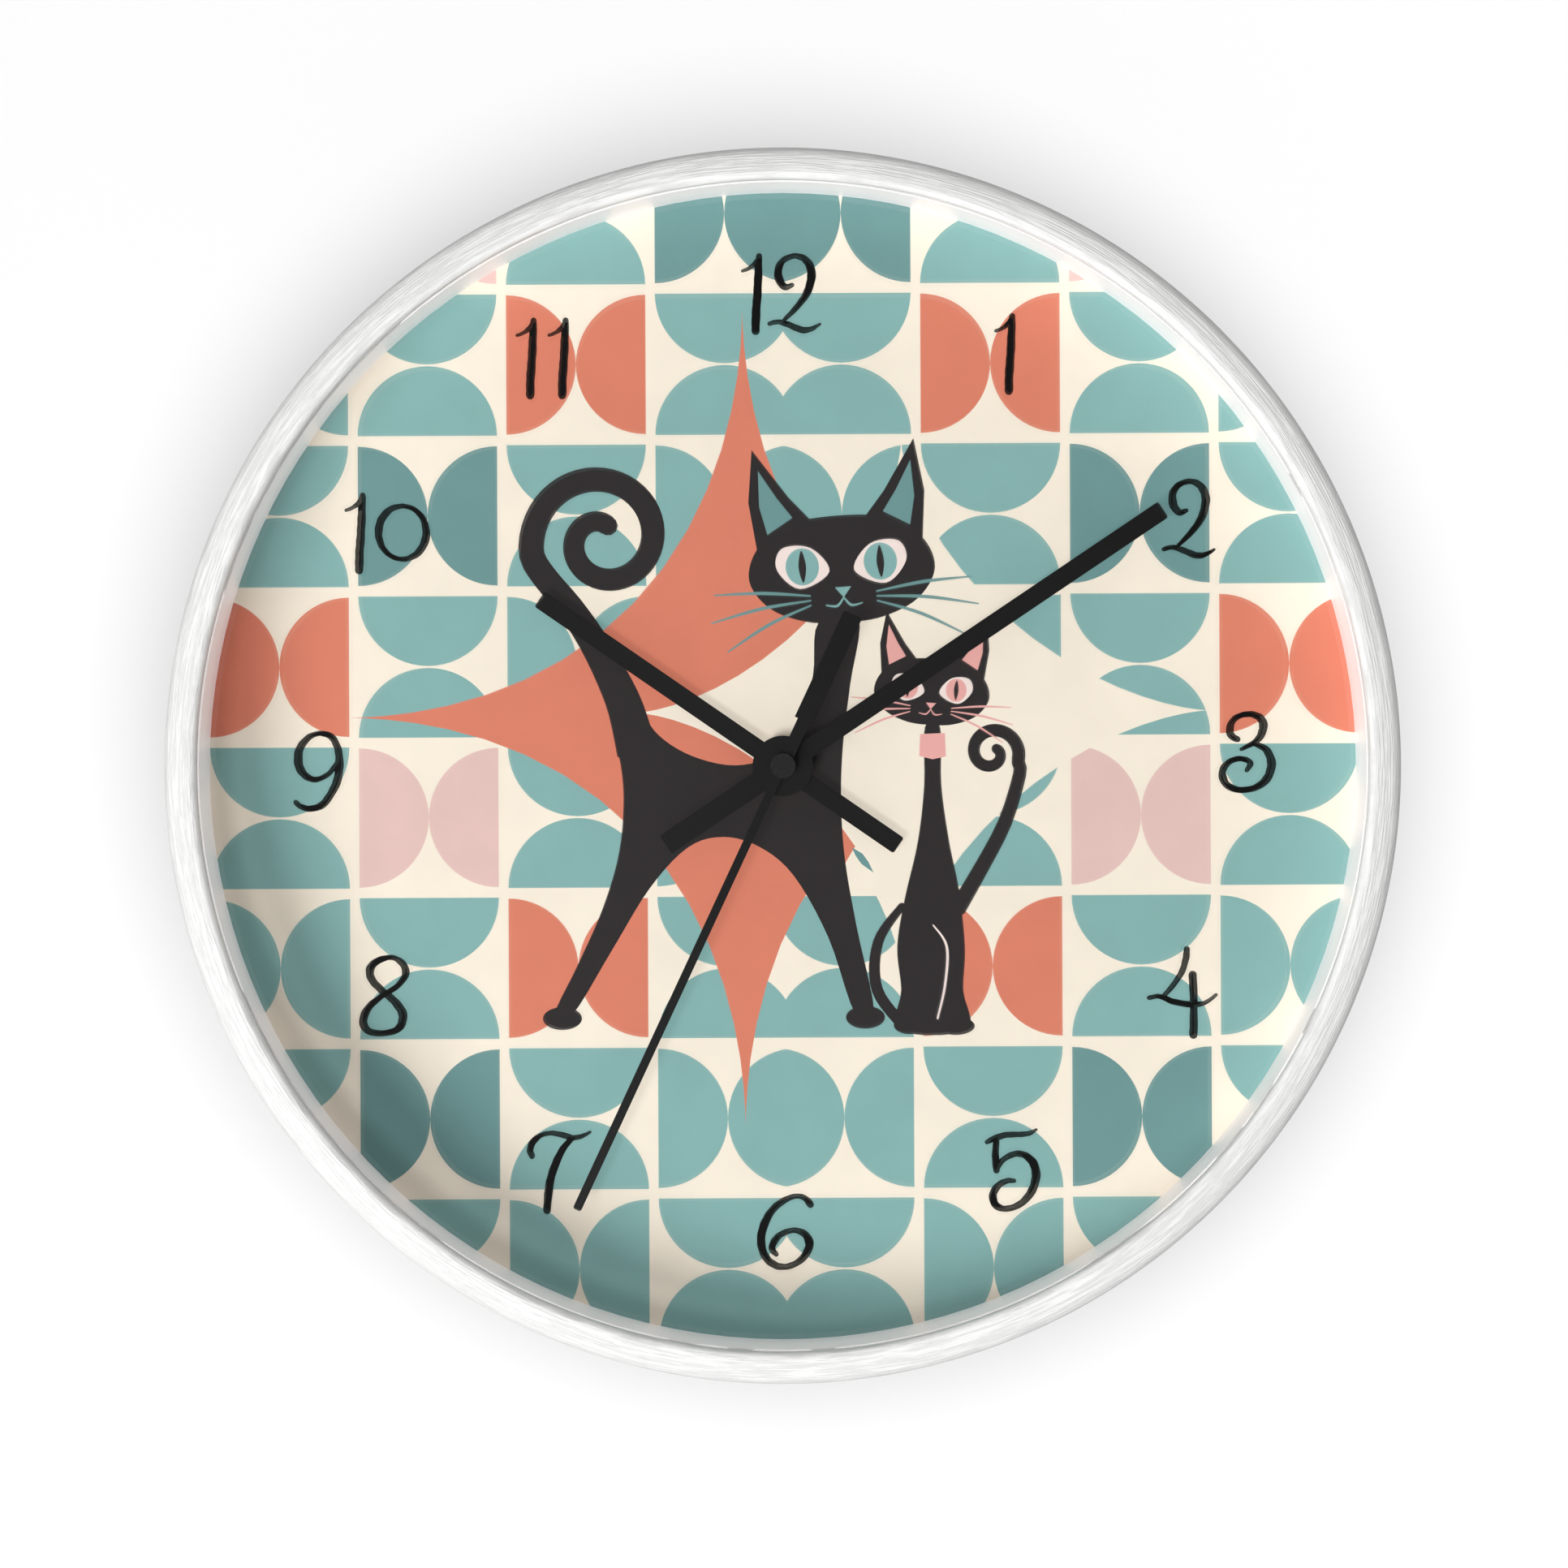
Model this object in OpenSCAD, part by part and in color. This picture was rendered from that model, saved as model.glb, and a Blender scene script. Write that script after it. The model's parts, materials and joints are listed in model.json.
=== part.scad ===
// Round wall clock: a painted wooden ring frame with an acrylic lens, a printed dial,
// three stick hands and a battery quartz movement with its whole wheel train.
//
// Row frame: X to the right as seen from the front, Z up, Y from the front to the wall.
// The wall plane is Y = 0 and the hands' axis is the Y axis, so everything has Y below 0.
// Inside facing(), a shape is drawn in XY as seen from the front, and its local Z is the
// distance from the wall.

/* [Frame] */
// Outer diameter of the ring frame
frame_dia = 254; // [240:1:300]
// Thickness of the ring at its front lip, measured radially
frame_lip_w = 6.8; // [6:0.1:9]
// Depth of the ring from the wall to its front edge
frame_depth = 42; // [41:0.5:50]
// Radial width of the rabbet that holds the lens, dial and backboard
rabbet_w = 2.8; // [2:0.1:3]
// Depth of the front lip
lip_depth = 3; // [2:0.1:4]
// Thickness of the acrylic lens
lens_t = 1.5; // [1:0.1:2]

/* [Dial] */
// Distance from the wall to the printed face of the dial
dial_face_z = 22.4; // [22.4:0.1:23]
// Thickness of the printed dial sheet
dial_t = 0.4; // [0.2:0.1:0.6]
// Thickness of the backboard
backboard_t = 3; // [2.5:0.1:3.2]

/* [Hands] */
// Direction of the hour hand, clockwise from 12
hour_angle = 304.5; // [0:0.1:360]
// Direction of the minute hand, clockwise from 12
minute_angle = 56.0; // [0:0.1:360]
// Direction of the second hand, clockwise from 12
second_angle = 204.9; // [0:0.1:360]
// Length of the hour hand from the axis
hour_len = 61.5; // [50:0.5:70]
// Length of the minute hand from the axis
minute_len = 95.3; // [80:0.1:105]
// Length of the second hand from the axis
second_len = 101.3; // [80:0.1:110]
// Width of the hour and minute hands
hand_w = 3.9; // [3:0.1:5]
// Length of the tails behind the axis
hand_tail = 29.3; // [15:0.1:35]

/* [Movement] */
// Width and height of the square movement case
case_w = 56; // [56:0.5:60]
// Wall thickness of the movement case
case_wall = 1.2; // [1:0.1:1.2]
// Diameter of the AA cell
cell_dia = 14.5; // [13.5:0.1:14.5]

/* [Hidden] */
$fn = 48;

// Ring frame and what it holds, as distances from the wall
frame_r = frame_dia / 2;
lip_r = frame_r - frame_lip_w;
rabbet_r = lip_r + rabbet_w;
seat_gap = 0.2;                     // radial gap of the sheets in the rabbet
sheet_r = rabbet_r - seat_gap;
edge_round = 3.4;                   // rounding of the ring's outer front corner
crown = 0.5;                        // how far the front face bulges
lip_round = 0.8;                    // rounding of the lip's inner corner
lens_front_z = frame_depth - lip_depth;
lens_back_z = lens_front_z - lens_t;
spacer_t = 1.6;
spacer_r = lip_r - 0.1;             // inner radius of the spacer ring
dial_back_z = dial_face_z - dial_t;
board_back_z = dial_back_z - backboard_t;
point_count = 8;
point_w = 6;
point_t = 0.5;
point_bite = 2;                     // how far each point goes into the ring
point_reach = 6;                    // how far each point reaches over the backboard

// Hanger, washers and nut
hanger_t = 0.8;
hanger_w = 22;
washer_t = 0.8;
case_front_z = board_back_z - hanger_t - washer_t;
case_depth = 16;
case_back_z = case_front_z - case_depth;
bush_r = 3.98;
bush_end_z = dial_face_z + 2.5;
brass_t = 0.5;
nut_t = 1.8;
nut_flats = 10;
clear_r = 4.1;                      // radius of the holes that the bush passes through
eye_y = 38;                         // height of the wall hook's hole above the axis
eye_r = 4;
eye_slot_r = 1.75;
eye_plate_z = 3;                    // distance from the wall to the hanger's eye plate

// Pipes and arbors on the hands' axis
arbor_r = 0.55;
minute_pipe_r = 1.75;
hour_pipe_r = 2.5;
running = 0.06;                     // radial clearance of each running fit
hour_hand_z = 26.2;
minute_hand_z = 29;
second_hand_z = 32.2;
hour_hand_t = 0.5;
minute_hand_t = 0.5;
second_hand_t = 0.35;
hub_r = 6.3;
corner_r = 0.5;                     // rounding of the hands' outer corners
hour_pipe_end_z = 27.2;
minute_pipe_end_z = 30.1;
cap_r = 2.6;
stem_r = 1.2;
eye_ring_r = 2.3;

// Movement levels, from the front of the case to its back
floor_z = case_front_z - case_wall;
level_hour = 15.1;
level_motion = 14.0;
level_centre = 12.8;
plate_z = 11.6;
level_third = 10.5;
level_seconds = 9.4;
level_inter = 8.3;
magnet_z = 5.8;
stator_z = 6.3;
board_z = 5;
cover_t = 1.2;
cover_in_z = case_back_z + cover_t;
wheel_t = 0.7;
plate_t = 0.8;

// Train axes, as seen from the front
motion_at = [10, 0];
third_at = 9.5 * [cos(135), sin(135)];
inter_at = 9 * [cos(60), sin(60)];
rotor_at = inter_at + 9 * [cos(30), sin(30)];

// Tooth counts: 60 turns of the seconds wheel for one of the centre wheel, 12 of that for one
// of the hour wheel, and 30 turns of the rotor for one of the seconds wheel
seconds_pinion_teeth = 10;
third_teeth = 75;
third_pinion_teeth = 10;
centre_teeth = 80;
cannon_teeth = 12;
motion_teeth = 36;
motion_pinion_teeth = 12;
hour_teeth = 48;
seconds_teeth = 60;
inter_pinion_teeth = 12;
inter_teeth = 72;
rotor_teeth = 12;

// Case interior
case_in = case_w / 2 - case_wall;
bay_top = -10.2;                    // height of the battery bay's partition, top face
partition_t = 1;
cell_r = cell_dia / 2;
cell_y = -19;
cell_z = floor_z - 0.15 - cell_r;
cell_body_len = 49.3;
cell_nub_len = 1;
cell_nub_r = 2.75;
contact_t = 0.3;
cell_left = case_in - 0.1 - contact_t - cell_nub_len - cell_body_len;
coil_y = 22;
coil_z = 6.8;
coil_half = 12;
flange_r = 4;
core_w = 2.2;
knob_r = 6.4;
dish_r = 7.4;
dish_floor_z = 4.4;

module facing(z = 0) {
    rotate([90, 0, 0]) translate([0, 0, z]) children();
}

module disc(r, z0, z1, at = [0, 0]) {
    translate([at[0], at[1], z0]) cylinder(r = r, h = z1 - z0);
}

module tube(r_out, r_in, z0, z1, at = [0, 0]) {
    difference() {
        disc(r_out, z0, z1, at);
        disc(r_in, z0 - 1, z1 + 1, at);
    }
}

module block(x0, x1, y0, y1, z0, z1) {
    translate([x0, y0, z0]) cube([x1 - x0, y1 - y0, z1 - z0]);
}

function arc(at, r, a0, a1, steps) =
    [for (i = [0:steps]) at + r * [cos(a0 + (a1 - a0) * i / steps), sin(a0 + (a1 - a0) * i / steps)]];

// ---- wheels -------------------------------------------------------------------------------

// Half widths of a tooth at its root, pitch circle and tip, as shares of half a pitch
root_share = 0.5;
pitch_share = 0.4;
tip_share = 0.16;
addendum = 0.8;
dedendum = 1.1;

function tooth(at, pitch, r_root, r_pitch, r_tip) = [
    for (p = [[r_root, -root_share], [r_pitch, -pitch_share], [r_tip, -tip_share],
              [r_tip, tip_share], [r_pitch, pitch_share], [r_root, root_share]])
        p[0] * [cos(at + p[1] * pitch / 2), sin(at + p[1] * pitch / 2)]
];

// A wheel of straight-flanked teeth, with the centre of one tooth at the angle phase
module toothed(teeth, m, phase, t) {
    r = m * teeth / 2;
    pitch = 360 / teeth;
    linear_extrude(t)
        polygon([for (i = [0:teeth - 1])
            each tooth(phase + i * pitch, pitch, r - dedendum * m, r, r + addendum * m)]);
}

module wheel(teeth, m, phase, z0, z1, at = [0, 0]) {
    translate([at[0], at[1], z0]) toothed(teeth, m, phase, z1 - z0);
}

function direction(from, to) = atan2(to[1] - from[1], to[0] - from[0]);
function module_of(from, to, z1, z2) = 2 * norm(to - from) / (z1 + z2);

// The phase that puts a tooth gap of the second wheel on a tooth of the first, which has a
// tooth at the angle phase
function meshed(phase, z1, z2, dir) =
    dir + 180 + 180 / z2 - (phase - dir) * z1 / z2;

origin = [0, 0];
m_hour = module_of(origin, motion_at, motion_pinion_teeth, hour_teeth);
m_motion = module_of(origin, motion_at, cannon_teeth, motion_teeth);
m_centre = module_of(origin, third_at, third_pinion_teeth, centre_teeth);
m_third = module_of(origin, third_at, seconds_pinion_teeth, third_teeth);
m_seconds = module_of(origin, inter_at, inter_pinion_teeth, seconds_teeth);
m_inter = module_of(inter_at, rotor_at, rotor_teeth, inter_teeth);

cannon_phase = 0;
motion_phase = meshed(cannon_phase, cannon_teeth, motion_teeth, direction(origin, motion_at));
motion_pinion_phase = 0;
hour_phase = meshed(motion_pinion_phase, motion_pinion_teeth, hour_teeth, direction(motion_at, origin));
centre_phase = 0;
third_pinion_phase = meshed(centre_phase, centre_teeth, third_pinion_teeth, direction(origin, third_at));
seconds_pinion_phase = 0;
third_phase = meshed(seconds_pinion_phase, seconds_pinion_teeth, third_teeth, direction(origin, third_at));
seconds_phase = 0;
inter_pinion_phase = meshed(seconds_phase, seconds_teeth, inter_pinion_teeth, direction(origin, inter_at));
inter_phase = 0;
rotor_phase = meshed(inter_phase, inter_teeth, rotor_teeth, direction(inter_at, rotor_at));

// ---- frame, glass and dial ----------------------------------------------------------------

module frame_ring() {
    steps = 8;
    rear_round = 1;
    color("white") facing() difference() {
        rotate_extrude($fn = 180) polygon(concat(
            [[rabbet_r, 0]],
            arc([frame_r - rear_round, rear_round], rear_round, -90, 0, 3),
            arc([frame_r - edge_round, frame_depth - crown - edge_round], edge_round, 0, 80, steps),
            [[frame_r - edge_round - 0.6, frame_depth - 0.1]],
            arc([lip_r + lip_round, frame_depth - lip_round], lip_round, 90, 180, 4),
            [[lip_r, lens_front_z], [rabbet_r, lens_front_z]]
        ));
        retaining_plates();
    }
}

module lens() {
    color("white", 0.2) facing() disc(sheet_r, lens_back_z, lens_front_z, $fn = 180);
}

module spacer_ring() {
    color("white") facing() tube(spacer_r + spacer_t, spacer_r, dial_face_z, lens_back_z, $fn = 180);
}

module dial() {
    color("oldlace") facing() tube(sheet_r, clear_r, dial_back_z, dial_face_z, $fn = 180);
}

module backboard() {
    color("saddlebrown") facing() tube(sheet_r, clear_r, board_back_z, dial_back_z, $fn = 180);
}

// Flat steel points pressed into the ring, which hold the backboard in from behind
module retaining_plates() {
    for (i = [0:point_count - 1])
        rotate((i + 0.5) * 360 / point_count)
            block(rabbet_r - point_reach, rabbet_r + point_bite, -point_w / 2, point_w / 2,
                  board_back_z - point_t, board_back_z);
}

module retaining_points() {
    color("silver") facing() retaining_plates();
}

// ---- hanging and fixing -------------------------------------------------------------------

module hanger() {
    top_y = case_w / 2 + 0.6;
    color("silver") facing() {
        difference() {
            block(-hanger_w / 2, hanger_w / 2, -11, top_y + hanger_t,
                  board_back_z - hanger_t, board_back_z);
            disc(clear_r, 0, frame_depth);
        }
        block(-hanger_w / 2, hanger_w / 2, top_y, top_y + hanger_t, eye_plate_z, board_back_z - hanger_t);
        difference() {
            translate([0, 0, eye_plate_z]) linear_extrude(hanger_t) polygon(concat(
                [[-hanger_w / 2, top_y + hanger_t], [hanger_w / 2, top_y + hanger_t]],
                arc([0, eye_y + 1], 8, 0, 180, 14)
            ));
            disc(eye_r, 0, 10, [0, eye_y]);
            block(-eye_slot_r, eye_slot_r, eye_y, eye_y + 5, 0, 10);
            disc(eye_slot_r, 0, 10, [0, eye_y + 5]);
        }
    }
}

module rubber_washer() {
    color("black") facing() tube(9, clear_r, case_front_z, case_front_z + washer_t);
}

module brass_washer() {
    color("goldenrod") facing() tube(5.9, clear_r, dial_face_z, dial_face_z + brass_t);
}

module hex_nut() {
    color("goldenrod") facing() difference() {
        translate([0, 0, dial_face_z + brass_t]) cylinder(r = nut_flats / 2 / cos(30), h = nut_t, $fn = 6);
        disc(bush_r + 0.02, 0, frame_depth);
    }
}

// ---- hands --------------------------------------------------------------------------------

// A straight bar from the axis out along +Y, with its two outer corners rounded
module bar_shape(w, from, to) {
    r = min(corner_r, w / 2 - 0.1);
    s = sign(to - from);
    polygon(concat(
        [[-s * w / 2, from], [s * w / 2, from]],
        arc([s * (w / 2 - r), to - s * r], r, s > 0 ? 0 : 180, s > 0 ? 90 : 270, 4),
        arc([-s * (w / 2 - r), to - s * r], r, s > 0 ? 90 : 270, s > 0 ? 180 : 360, 4)
    ));
}

module stick_hand(angle, len, w, tail, tail_w, z, t, hole_r) {
    rotate(-angle) difference() {
        translate([0, 0, z]) linear_extrude(t) {
            bar_shape(w, 0, len);
            bar_shape(tail_w, 0, -tail);
            circle(r = hub_r);
        }
        disc(hole_r, 0, frame_depth);
    }
}

module hour_hand() {
    color("black") facing()
        stick_hand(hour_angle, hour_len, hand_w, hand_tail, hand_w, hour_hand_z, hour_hand_t, hour_pipe_r);
}

module minute_hand() {
    tail_w = hand_w + 0.6;
    color("black") facing()
        stick_hand(minute_angle, minute_len, hand_w, hand_tail, tail_w,
                   minute_hand_z, minute_hand_t, minute_pipe_r);
}

module second_hand() {
    blade_w = 1.8;
    tail_w = 2.7;
    paddle_w = 4.1;
    paddle_from = 10.3;
    paddle_to = 34.6;
    color("black") facing() rotate(-second_angle) difference() {
        translate([0, 0, second_hand_z]) linear_extrude(second_hand_t) {
            bar_shape(blade_w, 0, second_len);
            bar_shape(tail_w, 0, -paddle_from - 1);
            bar_shape(paddle_w, -paddle_from, -paddle_to);
            circle(r = eye_ring_r);
        }
        disc(stem_r, 0, frame_depth);
    }
}

module second_hand_cap() {
    color("black") facing() difference() {
        union() {
            disc(stem_r, second_hand_z - 1.6, second_hand_z + second_hand_t);
            disc(cap_r, second_hand_z + second_hand_t, second_hand_z + 1);
        }
        disc(arbor_r, 0, second_hand_z + 0.3);
    }
}

// ---- movement case ------------------------------------------------------------------------

module rounded_square(half, r) {
    hull() for (x = [-1, 1], y = [-1, 1])
        translate([x * (half - r), y * (half - r)]) circle(r = r, $fn = 32);
}

// A pillar with a blind bearing hole at its end
module bearing(at, r, hole_r, z0, z1, hole_z0, hole_z1) {
    difference() {
        disc(r, z0, z1, at);
        disc(hole_r, hole_z0, hole_z1, at);
    }
}

plate_pillars = [[-24.5, 12], [24.5, 12], [24.5, -6], [-11, -8]];
board_pillars = [[-24, -6.5], [-15.5, 6.5]];
stator_pillars = [[-19.7, 16], [19.7, 16]];
post_spots = [[-23.8, 23.8], [23.8, 23.8], [-23.8, -7.4], [23.8, -7.4]];

module case_shell() {
    half = case_w / 2;
    r = 4;
    difference() {
        union() {
            for (s = [-1, 1]) {
                block(s > 0 ? half - case_wall : -half, s > 0 ? half : -half + case_wall,
                      -half + r, half - r, case_back_z, case_front_z);
                block(-half + r, half - r, s > 0 ? half - case_wall : -half,
                      s > 0 ? half : -half + case_wall, case_back_z, case_front_z);
            }
            block(-half + r, half - r, -half + case_wall, half - case_wall, floor_z, case_front_z);
            block(-half + case_wall, -half + r, -half + r, half - r, floor_z, case_front_z);
            block(half - r, half - case_wall, -half + r, half - r, floor_z, case_front_z);
            for (x = [-1, 1], y = [-1, 1])
                disc(r, case_back_z, case_front_z, [x * (half - r), y * (half - r)]);
        }
        for (x = [-1, 1], y = [-1, 1])
            disc(r - case_wall, 0, floor_z, [x * (half - r), y * (half - r)]);
        block(-half + case_wall, half - case_wall, -half + r, half - r, 0, floor_z);
        block(-half + r, half - r, -half + case_wall, half - case_wall, 0, floor_z);
        disc(hour_pipe_r + running, 0, frame_depth);
        disc(0.55, 0, floor_z + 0.7, motion_at);
    }
}

module movement_case() {
    color([0.1, 0.1, 0.1]) facing() {
        case_shell();
        tube(bush_r, hour_pipe_r + running, floor_z, bush_end_z);
        difference() {
            block(-case_in, case_in, bay_top - partition_t, bay_top, case_back_z, floor_z);
            for (s = [-1, 1])
                block(s > 0 ? case_in - 1 : -case_in, s > 0 ? case_in : -case_in + 1,
                      bay_top - 2, bay_top + 1, cover_in_z, 7);
        }
        for (p = post_spots) disc(1.5, plate_z + plate_t, floor_z, p);
        bearing(third_at, 0.9, 0.42, 14.3, floor_z, 14, 15.8);
    }
}

module movement_cover() {
    gap = 0.1;
    bosses = [
        [third_at, 1.1, 9.8], [origin, 1.5, 7.9], [inter_at, 1.3, 7.9], [rotor_at, 1.4, 5.2]
    ];
    color([0.12, 0.12, 0.12]) facing() {
        difference() {
            union() {
                block(-case_in + gap, case_in - gap, bay_top + gap, 23.8, case_back_z, cover_in_z);
                block(-23.8, 23.8, 23.8, case_in - gap, case_back_z, cover_in_z);
                disc(dish_r + 0.8, case_back_z, dish_floor_z + 0.8, motion_at);
            }
            disc(dish_r, 0, dish_floor_z, motion_at);
            disc(1.3, 0, 10, motion_at);
        }
        for (b = bosses) bearing(b[0], b[1], 0.42, cover_in_z - 0.2, b[2], b[2] - 1.2, b[2] + 1);
        for (p = plate_pillars) disc(1.2, cover_in_z - 0.2, plate_z, p);
        for (p = board_pillars) disc(1, cover_in_z - 0.2, board_z, p);
        for (p = stator_pillars) disc(1.1, cover_in_z - 0.2, stator_z, p);
    }
}

module train_plate() {
    color("ivory") facing() difference() {
        block(-26.4, 26.4, -9.9, 26.4, plate_z, plate_z + plate_t);
        for (x = [-1, 1]) block(x > 0 ? 25 : -30, x > 0 ? 30 : -25, 22, 30, 0, 20);
        disc(arbor_r + running, 0, 20);
        disc(1.6, 0, 20, third_at);
        disc(1.5, 0, 20, motion_at);
        disc(0.42, 0, 20, inter_at);
        disc(0.42, 0, 20, rotor_at);
    }
}

// ---- wheel train --------------------------------------------------------------------------

module motion_wheel() {
    color("white") facing() {
        wheel(motion_teeth, m_motion, motion_phase, level_motion, level_motion + plate_t, motion_at);
        wheel(motion_pinion_teeth, m_hour, motion_pinion_phase, level_motion + plate_t, 15.95, motion_at);
        disc(0.5, 15.95, floor_z + 0.6, motion_at);
        disc(1.2, dish_floor_z - 0.4, level_motion, motion_at);
    }
}

module setting_knob() {
    grips = 24;
    color([0.12, 0.12, 0.12]) facing() difference() {
        disc(knob_r, case_back_z - 0.4, dish_floor_z - 0.4, motion_at);
        for (i = [0:grips - 1])
            disc(0.35, 0, 10, motion_at + (knob_r + 0.1) * [cos(i * 360 / grips), sin(i * 360 / grips)], $fn = 16);
        disc(knob_r - 1.4, 0, case_back_z + 0.8, motion_at);
    }
    color([0.12, 0.12, 0.12]) facing()
        block(motion_at[0] - 0.8, motion_at[0] + 0.8, -4.6, 4.6, case_back_z - 0.2, case_back_z + 0.8);
}

module hour_wheel() {
    color("white") facing() difference() {
        union() {
            wheel(hour_teeth, m_hour, hour_phase, level_hour, level_hour + plate_t);
            disc(hour_pipe_r, level_hour, hour_pipe_end_z);
        }
        disc(minute_pipe_r + running, 0, frame_depth);
    }
}

module cannon_pinion() {
    color("goldenrod") facing() difference() {
        union() {
            wheel(cannon_teeth, m_motion, cannon_phase, level_centre + plate_t, level_hour - 0.15);
            disc(minute_pipe_r, plate_z + plate_t + 0.1, minute_pipe_end_z);
        }
        disc(arbor_r + running, 0, frame_depth);
    }
}

module centre_wheel() {
    color("white") facing() difference() {
        wheel(centre_teeth, m_centre, centre_phase, level_centre, level_centre + plate_t);
        disc(minute_pipe_r, 0, frame_depth);
    }
}

module third_wheel() {
    color("white") facing() {
        wheel(third_pinion_teeth, m_centre, third_pinion_phase, 12.6, 13.8, third_at);
        disc(0.6, level_third + wheel_t, 12.6, third_at);
        wheel(third_teeth, m_third, third_phase, level_third, level_third + wheel_t, third_at);
        disc(0.35, 13.8, 15.5, third_at);
        disc(0.35, 8.9, level_third, third_at);
    }
}

module seconds_wheel() {
    color("white") facing() {
        wheel(seconds_teeth, m_seconds, seconds_phase, level_seconds, level_seconds + wheel_t);
        wheel(seconds_pinion_teeth, m_third, seconds_pinion_phase, level_seconds + wheel_t, 11.4);
        disc(arbor_r, 11.4, second_hand_z + 0.3);
        disc(0.35, 7, level_seconds);
    }
}

module intermediate_wheel() {
    color("white") facing() {
        wheel(inter_teeth, m_inter, inter_phase, level_inter, level_inter + wheel_t, inter_at);
        wheel(inter_pinion_teeth, m_seconds, inter_pinion_phase, level_inter + wheel_t, 10.3, inter_at);
        disc(0.35, 10.3, plate_z + plate_t - 0.1, inter_at);
        disc(0.35, 7, level_inter, inter_at);
    }
}

module rotor_pinion() {
    color("white") facing() {
        wheel(rotor_teeth, m_inter, rotor_phase, level_inter - 0.1, level_inter + wheel_t + 0.1, rotor_at);
        disc(0.35, level_inter + wheel_t + 0.1, plate_z + plate_t - 0.1, rotor_at);
        disc(0.35, 4.3, level_inter - 0.1, rotor_at);
    }
}

module rotor_magnet() {
    color("dimgray") facing() tube(3, 0.35, magnet_z, magnet_z + 2, rotor_at);
}

// ---- motor and electronics ----------------------------------------------------------------

module stator() {
    lower_y = rotor_at[1];
    outer_x = 21;
    w = 2.6;
    color("silver") facing() translate([0, 0, stator_z]) linear_extrude(1) difference() {
        union() {
            translate([-outer_x, lower_y - w / 2]) square([2 * outer_x, w]);
            for (s = [-1, 1])
                translate([s * (outer_x - w / 2) - w / 2, lower_y - w / 2])
                    square([w, coil_y - lower_y + w / 2 + core_w / 2]);
            translate([-outer_x, coil_y - core_w / 2]) square([2 * outer_x, core_w]);
            translate(rotor_at) circle(r = 5.1);
        }
        translate(rotor_at) circle(r = 3.5);
    }
}

module along_x(x0, x1, r) {
    translate([x0, coil_y, coil_z]) rotate([0, 90, 0]) cylinder(r = r, h = x1 - x0);
}

module core_slot() {
    gap = 0.05;
    block(-30, 30, coil_y - core_w / 2 - gap, coil_y + core_w / 2 + gap, stator_z - gap, stator_z + 1 + gap);
}

module coil_bobbin() {
    color("ivory") facing() difference() {
        union() {
            along_x(-coil_half, coil_half, 2);
            for (s = [-1, 1]) along_x(s * (coil_half - 0.5) - 0.5, s * (coil_half - 0.5) + 0.5, flange_r);
        }
        core_slot();
    }
}

module coil_winding() {
    color("chocolate") facing() difference() {
        along_x(-coil_half + 1, coil_half - 1, flange_r - 0.4);
        along_x(-30, 30, 2);
    }
}

module circuit_board() {
    color("darkgreen") facing() block(-case_in + 0.35, -13.5, -9.6, 9, board_z, board_z + 1);
}

// The control chip under its blob of black resin
module control_chip() {
    r = 3;
    h = 1.3;
    bulge = (r * r + h * h) / (2 * h);
    rim = asin(r / bulge);
    color("black") facing() translate([-19, -2, board_z + 1])
        rotate_extrude() polygon(concat(
            [[0, 0]],
            [for (i = [0:7]) let (a = rim * (1 - i / 8)) [bulge * sin(a), bulge * cos(a) - bulge + h]],
            [[0, h]]
        ));
}

module quartz_crystal() {
    color("silver") facing() translate([-22, 3.2, board_z + 2.05]) rotate([0, 90, 0]) {
        cylinder(r = 1, h = 6);
    }
}

contact_y0 = -23;
contact_y1 = -15;

module contact_positive() {
    x1 = case_in - 0.05;
    x0 = x1 - contact_t;
    rail_y = -9.9;
    color("silver") facing() {
        block(x0, x1, contact_y0, contact_y1, 4, 14);
        block(x0, x1, contact_y1, rail_y, 4, 6);
        block(-15, x1, rail_y, rail_y + contact_t, 4.6, 6);
    }
}

module contact_negative() {
    x0 = -case_in + 0.05;
    x1 = x0 + contact_t;
    color("silver") facing() {
        block(x0, x1, contact_y0, contact_y1, 4, 14);
        block(x0, x1, contact_y1, -9.1, 4, 6);
    }
}

// A conical coil spring between the negative contact and the cell
function coil_point(u, turns, r0, r1, length) =
    [length * u, (r0 + (r1 - r0) * u) * cos(360 * turns * u), (r0 + (r1 - r0) * u) * sin(360 * turns * u)];

module contact_spring() {
    turns = 2.25;
    n = 54;
    sides = 6;
    wire_r = 0.3;
    x0 = -case_in + 0.05 + contact_t + wire_r;
    length = cell_left - 0.05 - wire_r - x0;
    pts = [for (i = [0:n]) coil_point(i / n, turns, 4.4, 2, length)];
    rings = [for (i = [0:n]) let (
        t = pts[min(i + 1, n)] - pts[max(i - 1, 0)],
        u = t / norm(t),
        side = cross(u, [1, 0, 0]) / norm(cross(u, [1, 0, 0])),
        up = cross(side, u)
    ) [for (k = [0:sides - 1]) pts[i] + wire_r * (side * cos(k * 360 / sides) + up * sin(k * 360 / sides))]];
    color("silver") facing()
        translate([x0, cell_y, cell_z]) polyhedron(
            points = [for (r = rings) each r],
            faces = concat(
                [[for (k = [0:sides - 1]) k]],
                [for (i = [0:n - 1], k = [0:sides - 1]) let (
                    a = i * sides + k, b = i * sides + (k + 1) % sides
                ) [a, a + sides, b + sides, b]],
                [[for (k = [0:sides - 1]) n * sides + sides - 1 - k]]
            )
        );
}

module cell_rod(x0, x1, r) {
    translate([x0, cell_y, cell_z]) rotate([0, 90, 0]) cylinder(r = r, h = x1 - x0);
}

module cell_jacket() {
    color("orangered") facing() cell_rod(cell_left, cell_left + cell_body_len, cell_r);
}

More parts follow.
